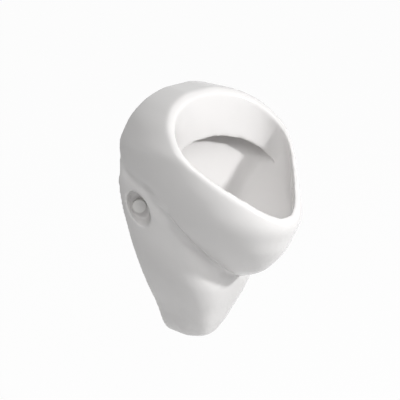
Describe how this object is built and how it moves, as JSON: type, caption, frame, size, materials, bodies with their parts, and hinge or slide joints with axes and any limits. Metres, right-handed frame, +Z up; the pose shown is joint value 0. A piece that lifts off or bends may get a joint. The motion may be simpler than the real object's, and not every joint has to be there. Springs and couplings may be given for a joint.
{
  "type": "wall hung urinal",
  "caption": "Wall hung urinal with a scoop bowl under a hood, teardrop tail hiding a bottle trap, side fixing pockets with caps and a lift-out strainer.",
  "frame": {"origin": "in the wall plane, midway between the two brackets' wall holes", "axes": "+X to the right seen from the room, +Y into the wall, +Z up"},
  "size_m": [0.3246, 0.3006, 0.5051],
  "materials": {
    "china": "white glazed vitreous china",
    "cap_plastic": "white moulded",
    "zinc_steel": "zinc plated",
    "stainless": "stainless",
    "sleeve_plastic": "natural nylon",
    "chromed_brass": "bright chrome",
    "brass": "turned",
    "rubber": "moulded",
    "trap_plastic": "white polypropylene"
  },
  "bodies": {
    "urinal": {"ceramic_body": "china", "fixing_bracket_left": "zinc_steel", "fixing_bracket_right": "zinc_steel", "bracket_nut_left": "zinc_steel", "bracket_nut_right": "zinc_steel", "fixing_screw_left": "stainless", "fixing_screw_right": "stainless", "fixing_washer_left": "stainless", "fixing_washer_right": "stainless", "fixing_sleeve_left": "sleeve_plastic", "fixing_sleeve_right": "sleeve_plastic", "waste_body": "chromed_brass", "inlet_spreader": "chromed_brass", "inlet_locknut": "brass", "waste_gasket": "rubber", "waste_lower_washer": "rubber", "trap_coupling_seal": "rubber", "trap_neck_seal": "rubber", "trap_cup_seal": "rubber", "trap_outlet_seal": "rubber", "wall_collar": "rubber", "inlet_front_washer": "rubber", "inlet_rear_washer": "rubber", "waste_locknut": "trap_plastic", "trap_coupling_nut": "trap_plastic", "trap_tail_pipe": "trap_plastic", "trap_body": "trap_plastic", "trap_cup": "trap_plastic", "trap_outlet_nut": "trap_plastic", "outlet_pipe": "trap_plastic"},
    "cap_left": {"screw_cap_left": "cap_plastic"},
    "cap_right": {"screw_cap_right": "cap_plastic"},
    "grid": {"strainer": "stainless"}
  },
  "joints": [
    {"name": "cap_left_pull", "type": "slide", "parent": "urinal", "child": "cap_left", "axis": [-0.7071, -0.7071, 0], "range_m": [0, 0.03]},
    {"name": "cap_right_pull", "type": "slide", "parent": "urinal", "child": "cap_right", "axis": [0.7071, -0.7071, 0], "range_m": [0, 0.03]},
    {"name": "strainer_lift", "type": "slide", "parent": "urinal", "child": "grid", "axis": [0, 0, 1], "range_m": [0, 0.06]}
  ]
}
